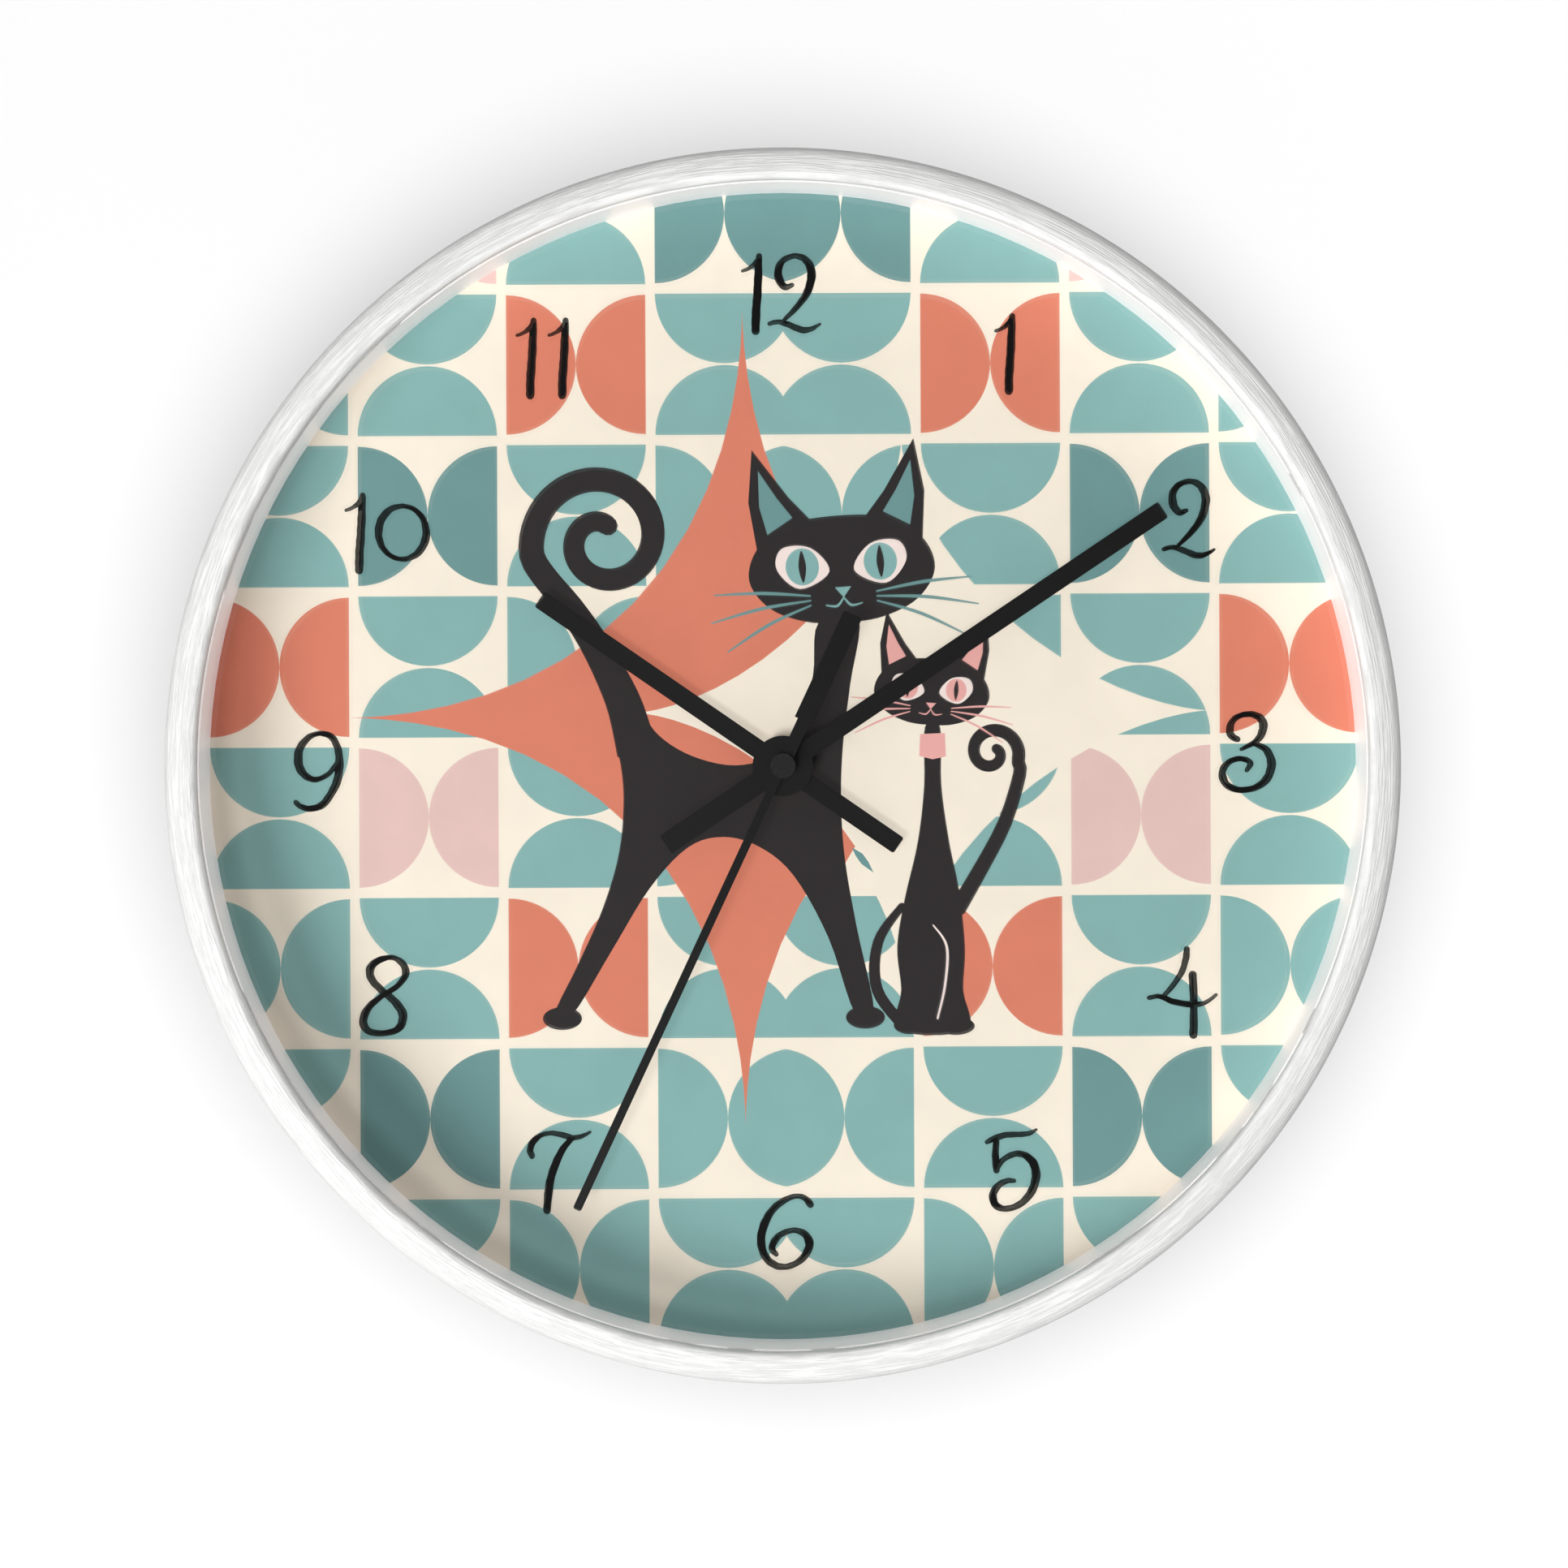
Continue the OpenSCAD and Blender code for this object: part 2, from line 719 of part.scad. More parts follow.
module cell_cap() {
    color("silver") facing()
        cell_rod(cell_left + cell_body_len, cell_left + cell_body_len + cell_nub_len, cell_nub_r);
}

frame_ring();
lens();
spacer_ring();
dial();
backboard();
retaining_points();
hanger();
rubber_washer();
brass_washer();
hex_nut();
hour_hand();
minute_hand();
second_hand();
second_hand_cap();
movement_case();
movement_cover();
train_plate();
setting_knob();
motion_wheel();
hour_wheel();
cannon_pinion();
centre_wheel();
third_wheel();
seconds_wheel();
intermediate_wheel();
rotor_pinion();
rotor_magnet();
stator();
coil_bobbin();
coil_winding();
circuit_board();
control_chip();
quartz_crystal();
contact_positive();
contact_negative();
contact_spring();
cell_jacket();
cell_cap();
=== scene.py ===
"""Round wall clock with a printed dial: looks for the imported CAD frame."""
import json
import math

import bpy
import bmesh
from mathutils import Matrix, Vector
from mathutils.geometry import delaunay_2d_cdt


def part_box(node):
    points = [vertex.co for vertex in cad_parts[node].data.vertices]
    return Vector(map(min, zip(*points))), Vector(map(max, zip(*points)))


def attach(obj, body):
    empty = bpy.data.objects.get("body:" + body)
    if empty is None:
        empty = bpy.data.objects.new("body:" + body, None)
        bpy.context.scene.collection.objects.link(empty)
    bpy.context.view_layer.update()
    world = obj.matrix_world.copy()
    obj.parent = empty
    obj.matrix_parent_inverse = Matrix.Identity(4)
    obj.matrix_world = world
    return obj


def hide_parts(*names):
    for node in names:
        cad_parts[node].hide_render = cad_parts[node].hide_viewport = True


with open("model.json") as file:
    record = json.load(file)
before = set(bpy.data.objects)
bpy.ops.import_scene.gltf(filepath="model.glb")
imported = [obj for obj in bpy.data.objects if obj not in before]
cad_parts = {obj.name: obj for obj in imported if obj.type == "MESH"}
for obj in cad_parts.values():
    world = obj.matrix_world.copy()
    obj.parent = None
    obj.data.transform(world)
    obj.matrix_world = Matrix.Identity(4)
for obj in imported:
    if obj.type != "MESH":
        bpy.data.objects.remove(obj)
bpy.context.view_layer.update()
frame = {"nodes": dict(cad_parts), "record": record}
nodes = frame["nodes"]
MM = 0.001


# ---- materials ------------------------------------------------------------------------------

def linear(rgb):
    """sRGB values from 0 to 255 as a linear colour."""
    out = []
    for v in rgb:
        v /= 255
        out.append(v / 12.92 if v <= 0.04045 else ((v + 0.055) / 1.055) ** 2.4)
    return (*out, 1)


class Nodes:
    """A short way to write a material's node tree."""

    SOCKETS = {"color": "Base Color", "rough": "Roughness", "normal": "Normal", "metal": "Metallic",
               "coat": "Coat Weight", "coat_rough": "Coat Roughness", "spec": "Specular IOR Level",
               "alpha": "Alpha", "clear": "Transmission Weight", "ior": "IOR"}

    def __init__(self, name):
        self.material = bpy.data.materials.new(name)
        self.material.use_nodes = True
        self.tree = self.material.node_tree
        self.bsdf = self.tree.nodes["Principled BSDF"]
        coord = self.tree.nodes.new("ShaderNodeTexCoord")
        self.place = coord.outputs["Object"]

    def feed(self, socket, value):
        """Links a socket to another one, or sets its value."""
        if isinstance(value, bpy.types.NodeSocket):
            self.tree.links.new(value, socket)
        else:
            socket.default_value = value

    def new(self, kind, inputs=None, **settings):
        node = self.tree.nodes.new(kind)
        for key, value in settings.items():
            setattr(node, key, value)
        for key, value in (inputs or {}).items():
            self.feed(node.inputs[key], value)
        return node

    def math(self, operation, *values):
        node = self.new("ShaderNodeMath", operation=operation)
        for i, value in enumerate(values):
            self.feed(node.inputs[i], value)
        return node.outputs[0]

    def noise(self, scale, detail=4.0, roughness=0.55, stretch=(1, 1, 1)):
        mapping = self.new("ShaderNodeMapping", {"Vector": self.place, "Scale": stretch})
        node = self.new("ShaderNodeTexNoise", {"Vector": mapping.outputs[0], "Scale": scale,
                                               "Detail": detail, "Roughness": roughness})
        return node.outputs["Fac"]

    def mixed(self, fac, a, b):
        """Colour a where fac is 0 and colour b where it is 1."""
        mix = self.new("ShaderNodeMix", {"Factor": fac}, data_type="RGBA")
        self.feed(mix.inputs[6], a)
        self.feed(mix.inputs[7], b)
        return mix.outputs[2]

    def between(self, fac, a, b, low=0.3, high=0.7):
        """Colour a where fac is low and colour b where it is high."""
        spread = self.new("ShaderNodeMapRange", {"Value": fac, "From Min": low, "From Max": high})
        return self.mixed(spread.outputs[0], a, b)

    def span(self, fac, a, b, low=0.3, high=0.7):
        """A number from a to b as fac goes from low to high."""
        node = self.new("ShaderNodeMapRange", {"Value": fac, "From Min": low, "From Max": high,
                                               "To Min": a, "To Max": b})
        return node.outputs[0]

    def bump(self, height, distance, strength=1.0):
        inputs = {"Height": height, "Distance": distance, "Strength": strength}
        return self.new("ShaderNodeBump", inputs).outputs[0]

    def finish(self, **sockets):
        for key, value in sockets.items():
            self.feed(self.bsdf.inputs[self.SOCKETS[key]], value)
        return self.material


def tint(rgb, k):
    """An sRGB colour made k times as bright, as a linear colour."""
    return linear([min(255, v * k) for v in rgb])


def moulded(name, rgb, rough=(0.42, 0.55), grain=900, depth=0.00004, vary=0.06, **more):
    """Moulded plastic, rubber or paint: fine grain in the surface and slow changes of tone."""
    n = Nodes(name)
    slow = n.noise(60, 3)
    fine = n.noise(grain, 3)
    return n.finish(color=n.between(slow, tint(rgb, 1 - vary), tint(rgb, 1 + vary)),
                    rough=n.span(fine, *rough), normal=n.bump(fine, depth, 0.6), **more)


def metal(name, rgb, rough=(0.22, 0.38), stretch=(1, 1, 20), scale=120, depth=0.00002, vary=0.1):
    """Drawn or brushed metal with its lines along one axis."""
    n = Nodes(name)
    lines = n.noise(scale, 5, 0.6, stretch)
    tone = n.noise(45, 3)
    colour = n.between(tone, tint(rgb, 1 - vary), tint(rgb, 1 + vary * 0.4))
    return n.finish(color=colour, rough=n.span(lines, *rough), metal=1.0,
                    normal=n.bump(lines, depth, 0.5))


def printed(name, rgb, rough=(0.5, 0.6), vary=0.012):
    """Ink on coated card: a nearly even colour with a faint paper tooth."""
    n = Nodes(name)
    tooth = n.noise(2600, 3)
    wash = n.noise(90, 4)
    return n.finish(color=n.between(wash, tint(rgb, 1 - vary), tint(rgb, 1 + vary)),
                    rough=n.span(tooth, *rough), normal=n.bump(tooth, 0.00001, 0.35), spec=0.12)


def ring_paint():
    """White paint brushed round the turned ring: streaks follow the circumference."""
    n = Nodes("brushed_white_paint")
    axes = n.new("ShaderNodeSeparateXYZ", {"Vector": n.place}).outputs
    x, y, z = axes[0], axes[1], axes[2]
    r = n.math("SQRT", n.math("ADD", n.math("MULTIPLY", x, x), n.math("MULTIPLY", z, z)))
    across = n.math("ADD", r, y)
    u, v = n.math("DIVIDE", x, r), n.math("DIVIDE", z, r)

    def streaks(along, over, detail, roughness):
        """Noise drawn out along the circumference and fine across it."""
        place = n.new("ShaderNodeCombineXYZ", {
            "X": n.math("MULTIPLY", u, along), "Y": n.math("MULTIPLY", v, along),
            "Z": n.math("MULTIPLY", across, over)}).outputs[0]
        return n.new("ShaderNodeTexNoise", {"Vector": place, "Scale": 1.0, "Detail": detail,
                                            "Roughness": roughness}).outputs["Fac"]
    fine_share = 0.82
    fine = streaks(13, 2400, 3, 0.6)
    broad = streaks(5, 700, 2, 0.5)
    lines = n.math("ADD", n.math("MULTIPLY", fine, fine_share), n.math("MULTIPLY", broad, 0.18))
    grooves = n.span(lines, 0, 1, 0.40, 0.56)
    colour = n.between(lines, tint(PAINT, 0.935), tint(PAINT, 1.01), 0.38, 0.55)
    return n.finish(color=colour, rough=n.span(lines, 0.5, 0.36), spec=0.4,
                    normal=n.bump(grooves, 0.00014, 0.7))


def fibre_board():
    """Pressed fibre board: short fibres and darker specks."""
    n = Nodes("fibre_board")
    fibres = n.noise(260, 6, 0.65, (1, 1, 3))
    specks = n.noise(1500, 2, 0.5)
    base = n.between(fibres, linear((112, 82, 56)), linear((143, 108, 74)), 0.35, 0.65)
    colour = n.between(specks, base, linear((92, 66, 45)), 0.6, 0.78)
    return n.finish(color=colour, rough=n.span(specks, 0.62, 0.8),
                    normal=n.bump(fibres, 0.00012, 0.5))


def clear_acrylic():
    """The lens: nearly invisible from the front, with a faint haze."""
    n = Nodes("clear_acrylic")
    haze = n.noise(30, 2)
    return n.finish(color=n.between(haze, linear((250, 252, 252)), linear((244, 248, 248))),
                    rough=n.span(haze, 0.02, 0.05), clear=1.0, ior=1.49, alpha=0.06)


def winding():
    """Turns of enamelled wire, side by side along X."""
    n = Nodes("copper_winding")
    wave = n.new("ShaderNodeTexWave", {"Vector": n.place, "Scale": 1100.0, "Distortion": 0.6,
                                       "Detail": 1.0}, bands_direction="X").outputs["Fac"]
    colour = n.between(wave, linear((120, 52, 24)), linear((196, 104, 58)), 0.2, 0.8)
    return n.finish(color=colour, rough=n.span(wave, 0.45, 0.3), metal=0.8,
                    normal=n.bump(wave, 0.0001))


def cell_sleeve():
    """The cell's printed sleeve: two plain bands, with a shrink seam's faint ripples."""
    n = Nodes("cell_sleeve")
    x = n.new("ShaderNodeSeparateXYZ", {"Vector": n.place}).outputs[0]
    ripple = n.noise(200, 4, 0.5, (4, 1, 1))
    band = n.span(x, 0, 1, 0.0119, 0.0121)
    dark = n.between(ripple, linear((34, 78, 84)), linear((40, 90, 96)))
    light = n.between(ripple, linear((196, 150, 96)), linear((208, 162, 106)))
    return n.finish(color=n.mixed(band, dark, light), rough=n.span(ripple, 0.26, 0.36), metal=0.25,
                    normal=n.bump(ripple, 0.00004, 0.4), coat=0.3, coat_rough=0.2)


def board_green():
    """The circuit board's green laminate, with its glass weave."""
    n = Nodes("board_laminate")
    weave = n.new("ShaderNodeTexChecker", {"Vector": n.place, "Scale": 2400.0}).outputs["Fac"]
    tone = n.noise(300, 3)
    base = n.between(tone, linear((28, 82, 46)), linear((36, 98, 56)))
    colour = n.between(weave, base, linear((32, 90, 50)), 0, 3)
    return n.finish(color=colour, rough=n.span(tone, 0.35, 0.5), normal=n.bump(weave, 0.00001, 0.3))


# the clock's colours, as sRGB values
PAINT = (239, 239, 238)
CREAM = (252, 241, 223)
TEAL = (136, 181, 178)
DARK_TEAL = (111, 153, 152)
CORAL = (224, 132, 107)
PINK = (232, 197, 191)
CAT = (47, 43, 44)
INK = (2, 2, 2)
EYE = (250, 233, 226)
ROSE = (240, 176, 170)
COLOUR_NAMES = {CREAM: "cream", TEAL: "teal", DARK_TEAL: "dark_teal", CORAL: "coral", PINK: "pink",
                CAT: "cat_black", INK: "number_ink", EYE: "pale", ROSE: "rose"}

# material slot: its finish
finishes = {
    "painted_wood": ring_paint(),
    # the spacer's white has a faint pink tint painted in to cancel the teal light that the dial throws onto
    # it
    "white_plastic": moulded("spacer_plastic", (250, 245, 245), (0.35, 0.45), 700, 0.00002, 0.01),
    "clear_acrylic": clear_acrylic(),
    "hardboard": fibre_board(),
    "steel": metal("bright_steel", (196, 197, 199)),
    "rubber": moulded("black_rubber", (26, 26, 26), (0.7, 0.85), 1500, 0.00008),
    "brass": metal("turned_brass", (205, 168, 96), (0.2, 0.34)),
    "hand_paint": moulded("black_hand_paint", (14, 14, 14), (0.36, 0.48), 2200, 0.00001, 0.05,
                          spec=0.2),
    "case_plastic": moulded("black_case_plastic", (30, 30, 31), (0.42, 0.58), 1800, 0.00006, 0.1),
    "wheel_plastic": moulded("wheel_plastic", (232, 230, 220), (0.3, 0.42), 900, 0.00002, 0.03),
    "ferrite": moulded("ferrite_magnet", (58, 58, 62), (0.4, 0.6), 2500, 0.00005, 0.1, metal=0.4),
    "copper_wire": winding(),
    "board_laminate": board_green(),
    "black_resin": moulded("black_resin", (14, 14, 15), (0.12, 0.2), 300, 0.00005, 0.1, coat=0.5),
    "crystal_can": metal("drawn_can", (205, 206, 208), (0.16, 0.28), (20, 1, 1)),
    "cell_label": cell_sleeve(),
}

finish_of = {s["node"]: finishes.get(s["material_slot"]) for s in frame["record"]["subparts"]}
finish_of["second_hand_cap"] = moulded("black_cap_paint", (20, 20, 20), (0.2, 0.28), 1500, 0.00001,
                                       0.05, spec=0.5)
for name, node in nodes.items():
    if finish_of[name]:
        node.data.materials.clear()
        node.data.materials.append(finish_of[name])


# ---- shapes in the plane of the dial ----------------------------------------------------------

def circle(cx, cy, rx, ry=None, a0=0.0, a1=360.0, steps=48):
    """A circle or ellipse, or the arc of it from a0 to a1 degrees."""
    ry = rx if ry is None else ry
    full = abs(a1 - a0) >= 360
    count = steps if full else steps + 1
    return [(cx + rx * math.cos(math.radians(a0 + (a1 - a0) * i / steps)),
             cy + ry * math.sin(math.radians(a0 + (a1 - a0) * i / steps))) for i in range(count)]


def curve_through(points, closed=False, steps=6):
    """A smooth line through points of any dimension."""
    n = len(points)
    out = []
    last = n if closed else n - 1
    for i in range(last):
        if closed:
            p = [points[(i + k) % n] for k in (-1, 0, 1, 2)]
        else:
            p = [points[min(max(i + k, 0), n - 1)] for k in (-1, 0, 1, 2)]
        for s in range(steps):
            t = s / steps
            out.append(tuple(
                0.5 * (2 * b + (c - a) * t + (2 * a - 5 * b + 4 * c - d) * t * t
                       + (3 * b - a - 3 * c + d) * t ** 3)
                for a, b, c, d in zip(*p)))
    if not closed:
        out.append(tuple(points[-1]))
    return out


def moved(points, dx, dy, angle=0.0, scale=1.0):
    """Points turned and scaled about the origin, then moved. A width is scaled too."""
    c, s = math.cos(math.radians(angle)), math.sin(math.radians(angle))
    return [(dx + scale * (x * c - y * s), dy + scale * (x * s + y * c), *(w * scale for w in rest))
            for x, y, *rest in points]


class Print:
    """Flat shapes in painter's order, later ones on top."""

    def __init__(self):
        self.shapes = []

    def add(self, colour, points):
        """Adds a shape, turned anticlockwise, as the cutting needs."""
        area = sum(a[0] * b[1] - b[0] * a[1] for a, b in zip(points, points[1:] + points[:1]))
        points = points if area > 0 else points[::-1]
        self.shapes.append((colour, [(round(x, 4), round(y, 4)) for x, y in points]))

    def stroke(self, colour, points, smooth=6, rough=0.0):
        """A brush line through (x, y, width) points."""
        line = curve_through(points, steps=smooth) if smooth else points
        sides = []
        for i, (x, y, w) in enumerate(line):
            a, b = line[max(i - 1, 0)], line[min(i + 1, len(line) - 1)]
            d = math.hypot(b[0] - a[0], b[1] - a[1]) or 1
            nx, ny = -(b[1] - a[1]) / d, (b[0] - a[0]) / d
            k = w / 2 * (1 + rough * math.sin(7.3 * i + x))
            m = w / 2 * (1 + rough * math.sin(5.1 * i + y + 2))
            sides.append(((x + nx * k, y + ny * k), (x - nx * m, y - ny * m)))
        for (a, b), (c, d) in zip(sides, sides[1:]):
            self.add(colour, [a, b, d, c])
        for x, y, w in (line[0], line[-1]):
            self.add(colour, circle(x, y, w / 2 * 0.98, steps=10))


# ---- the dial's artwork, in millimetres from the hands' axis --------------------------------------

TILE_W, TILE_H = 29.2, 29.6
GAP = 2.0
HALF_R = 14.6
PITCH = TILE_H + GAP
MIDDLE_X = 0.4
MIDDLE_HALF = 26.8
TOP_ROW_Z = 99.1
PRINT_TILT = 0.25        # degrees that the whole print is turned in the ring
BRUSH = 1.18             # width of the numbers' brush, as a share of the widths listed
HOLE_R = 4.1             # the dial's hole for the movement's bush
SHEET_PLAY = 0.05        # how much smaller than the CAD sheet the printed one is


def half_disc(x, z, facing):
    """facing is the side that the round part points to."""
    start = {"right": -90, "up": 0, "left": 90, "down": 180}[facing]
    return circle(x, z, HALF_R, a0=start, a1=start + 180, steps=28)


def half_pair(x0, z1, upright):
    """Two half discs in the cell whose left edge is x0 and top edge is z1."""
    xm, zm = x0 + TILE_W / 2, z1 - TILE_H / 2
    if upright:
        return half_disc(x0, zm, "right"), half_disc(x0 + TILE_W, zm, "left")
    return half_disc(xm, z1, "down"), half_disc(xm, z1 - TILE_H, "up")


def tile(art, x0, z1, upright, colour):
    for shape in half_pair(x0, z1, upright):
        art.add(colour, shape)


def left_part(points, x):
    """The part of a shape on the left of the upright line at x."""
    out = []
    for p, q in zip(points, points[1:] + points[:1]):
        if p[0] <= x:
            out.append(p)
        if (p[0] <= x) != (q[0] <= x):
            t = (x - p[0]) / (q[0] - p[0])
            out.append((x, p[1] + t * (q[1] - p[1])))
    return out


def middle_tile(art, z1, upright, colour):
    """A tile cut near its right edge and mirrored about the dial's middle."""
    for shape in half_pair(MIDDLE_X - MIDDLE_HALF, z1, upright):
        part = left_part(shape, MIDDLE_X)
        art.add(colour, part)
        art.add(colour, [(2 * MIDDLE_X - x, z) for x, z in reversed(part)])


# cells from the top row down. COLUMNS count outwards from the middle, the same on both sides
UP, ACROSS = True, False
COLUMNS = {
    0: [(ACROSS, TEAL), (UP, CORAL), (ACROSS, TEAL), (UP, TEAL), (ACROSS, TEAL), (UP, CORAL),
        (ACROSS, TEAL), (UP, TEAL)],
    1: [(UP, PINK), (ACROSS, TEAL), (UP, DARK_TEAL), (ACROSS, TEAL), (UP, PINK), (ACROSS, TEAL),
        (UP, DARK_TEAL), (ACROSS, TEAL)],
    2: [None, (UP, TEAL), (ACROSS, TEAL), (UP, CORAL), (ACROSS, TEAL), (UP, TEAL), (ACROSS, TEAL), None],
}
MIDDLE = [(UP, DARK_TEAL), (ACROSS, TEAL), (UP, TEAL), (ACROSS, TEAL), (UP, TEAL), (ACROSS, TEAL),
          (UP, TEAL), (ACROSS, TEAL)]


def star(cx, cz, left, right, up, down, power):
    """A star of four points joined by inward curves."""
    out = []
    for i in range(4):
        a, b = ((right, up), (left, up), (left, down), (right, down))[i]
        sx, sz = ((1, 1), (-1, 1), (-1, -1), (1, -1))[i]
        for k in range(20):
            t = k / 20 if i % 2 == 0 else 1 - k / 20
            # t runs along the horizontal point on even corners and back on odd ones
            u = math.cos(t * math.pi / 2) ** (2 / power)
            v = math.sin(t * math.pi / 2) ** (2 / power)
            out.append((cx + sx * a * u, cz + sz * b * v))
    return out


def spiral(cx, cz, r0, r1, a0, a1, w0, w1, steps):
    """A brush line round (cx, cz). Radius, angle and width go evenly from first to last value."""
    out = []
    for i in range(steps + 1):
        t = i / steps
        a = math.radians(a0 + (a1 - a0) * t)
        r = r0 + (r1 - r0) * t
        out.append((cx + r * math.cos(a), cz + r * math.sin(a), w0 + (w1 - w0) * t))
    return out


def cat_head(art, cx, cz, size, tilt, ear, iris, line):
    """A plain cat's head from the front: ears, eyes, nose and whiskers."""
    def put(colour, points):
        art.add(colour, moved(points, cx, cz, tilt, size))

    def brush(colour, points, smooth):
        art.stroke(colour, moved(points, cx, cz, tilt, size), smooth)

    face = curve_through([(0, -11.5), (8, -10.8), (15.5, -7.5), (19.5, -1.5), (17.5, 5), (11, 9.8), (0, 11),
                          (-11, 9.8), (-17.5, 5), (-19.5, -1.5), (-15.5, -7.5), (-8, -10.8)], True)
    put(CAT, face)
    for s in (-1, 1):
        side = [(s * 4.5, 9), (s * 10, 15.5), (s * 17, 26), (s * 18.5, 15), (s * 17.2, 3)]
        put(CAT, side if s < 0 else side[::-1])
        inner = [(s * 9.5, 11.2), (s * 12.5, 15.5), (s * 16, 21.5), (s * 16.3, 14), (s * 15, 8)]
        put(ear, inner if s < 0 else inner[::-1])
        eye = curve_through([(s * 2.6, -0.6), (s * 6.2, 4.6), (s * 12.2, 4.9), (s * 13.6, 0.6),
                             (s * 9, -3.8)], True)
        put(EYE, eye if s > 0 else eye[::-1])
        put(iris, circle(s * 8.2, 0.8, 3.5, 3.9, steps=28))
        pupil = [(s * 8.2, 4.2), (s * 7.4, 0.8), (s * 8.2, -2.6), (s * 9, 0.8)]
        put(CAT, curve_through(pupil[::-1], True))
    put(iris, [(-1.7, -4), (0, -6.2), (1.7, -4)])
    for s in (-1, 1):
        brush(iris, [(0, -6.2, 0.3), (s * 1.5, -7.9, 0.5), (s * 3.8, -7.6, 0.25)], 5)
        for k, (dx, dz) in enumerate(((20, 2.2), (21, -2.4), (18, -7.4))):
            brush(line, [(s * 7, -5.4 - k, 0.35), (s * (7 + dx / 2), -5 - k * 1.4 + dz * 0.4, 0.7),
                         (s * (7 + dx), -6 - k * 1.2 + dz, 0.3)], 6)


def big_cat(art):
    tail = [(-30.5, 3, 8.5), (-32.8, 12, 7.6), (-35.8, 19, 6.8), (-39.8, 26.5, 6.1), (-44.5, 33.5, 5.6),
            (-49.5, 39.5, 5.4)]
    tail += spiral(-37.5, 47.5, 15.2, 3.2, 192, -290, 5.4, 4.2, 22)
    art.stroke(CAT, tail, 3)
    body = [(-47.9, -51.5), (-43.4, -42), (-38, -30), (-34.4, -18), (-33.4, -6), (-34.6, 4), (-36.6, 12),
            (-38.4, 18), (-34, 18.5), (-30, 12.5), (-26, 6.6), (-19, 2.2), (-10, 0.2), (-2, 2.4),
            (3.5, 9), (6.4, 19), (7.6, 30), (16, 31), (14.2, 17), (12.6, 4), (12.2, -8), (13, -20),
            (15.4, -34), (18.9, -51.5), (14.9, -51.9), (9.4, -36), (2.2, -23), (-5, -16.9),
            (-12.6, -14.8), (-20, -17), (-28, -25.5), (-36, -38.5), (-44.3, -51.9)]
    art.add(CAT, curve_through(body, True, 5)[::-1])
    for x in (-46.4, 17.1):
        art.add(CAT, circle(x, -52.7, 4.1, 2.4, steps=32))
    cat_head(art, 12.5, 41.5, 1.0, 4, DARK_TEAL, TEAL, DARK_TEAL)


def small_cat(art):
    tail = [(36.5, -30, 3.6), (41.5, -21.5, 3.2), (46.5, -12, 3.0), (49.6, -2, 2.8)]
    tail += spiral(43.8, 2.6, 5.9, 1.3, -20, 400, 2.8, 2.2, 18)
    art.stroke(CAT, tail, 3)
    art.stroke(CAT, [(25.5, -55, 2.4), (19.6, -47, 2.4), (19.8, -37, 2.2), (24.8, -29.5, 1.6)], 6)
    body = [(24, -55.5), (24.6, -47), (23.8, -38), (25.4, -28), (28.2, -16), (29.6, -4), (29.8, 8), (33, 8),
            (33.2, -4), (34.8, -16), (36.8, -26), (38, -38), (37.6, -47), (38.4, -55.5)]
    art.add(CAT, curve_through(body, True, 5)[::-1])
    art.add(CAT, circle(26.4, -54.4, 3.4, 1.9, steps=28))
    art.add(CAT, circle(36, -54.6, 4.0, 1.9, steps=28))
    art.stroke(EYE, [(31.4, -33.5, 0.3), (34.2, -38, 0.5), (33.8, -46, 0.5), (32.2, -53, 0.4)], 6)
    art.add(ROSE, [(28.6, 2.0), (28.8, 6.6), (34.0, 6.8), (34.2, 1.9), (31.4, 1.3)][::-1])
    cat_head(art, 31.3, 15.6, 0.62, -4, ROSE, ROSE, ROSE)


# Brush numbers: lines of (x, z, width) about each digit's middle
ONE = [[(-2.9, 4.9, 0.6), (-1.6, 5.4, 0.7), (-0.3, 6.4, 0.9), (0.7, 7.9, 0.8)],
       [(0.6, 8.0, 1.1), (0.4, 4.0, 1.45), (0.2, 0, 1.5), (-0.1, -4, 1.55), (-0.2, -7.7, 1.5)]]
TWO = [[(-0.8, 1.9, 0.8), (-2.2, 1.5, 1.2), (-3.4, 2.8, 1.5), (-3.7, 5.1, 1.4), (-2.6, 7.1, 1.1),
        (-0.2, 8.0, 1.0),
        (2.0, 7.2, 1.3), (3.2, 5.0, 1.55), (3.0, 2.2, 1.5), (1.8, -0.6, 1.3), (-0.3, -3.2, 1.0),
        (-2.5, -5.4, 0.7)],
       [(-5.6, -6.2, 0.8), (-3.8, -5.8, 0.9), (-1.6, -6.4, 1.1), (1.2, -7.5, 1.2), (3.2, -7.3, 0.9),
        (5.0, -6.3, 0.5)]]
THREE = [[(-2.1, 2.7, 1.1), (-3.3, 3.4, 1.3), (-3.7, 4.9, 1.4), (-2.8, 6.9, 1.1), (-0.7, 7.9, 1.0),
          (1.5, 7.8, 1.2),
          (3.1, 6.6, 1.5), (3.2, 4.5, 1.5), (1.8, 2.3, 1.1), (-1.3, 0.6, 0.7)],
         [(1.2, 1.8, 0.8), (3.8, 0.6, 1.3), (5.0, -2.2, 1.6), (4.2, -5.3, 1.5), (1.7, -7.4, 1.2),
          (-1.6, -7.9, 1.1),
          (-4.3, -6.9, 1.3), (-5.3, -4.8, 1.4), (-4.7, -2.8, 1.2), (-2.7, -1.5, 1.0), (-0.6, -1.5, 1.0),
          (0.6, -2.4, 1.1), (-0.2, -3.8, 0.8)]]
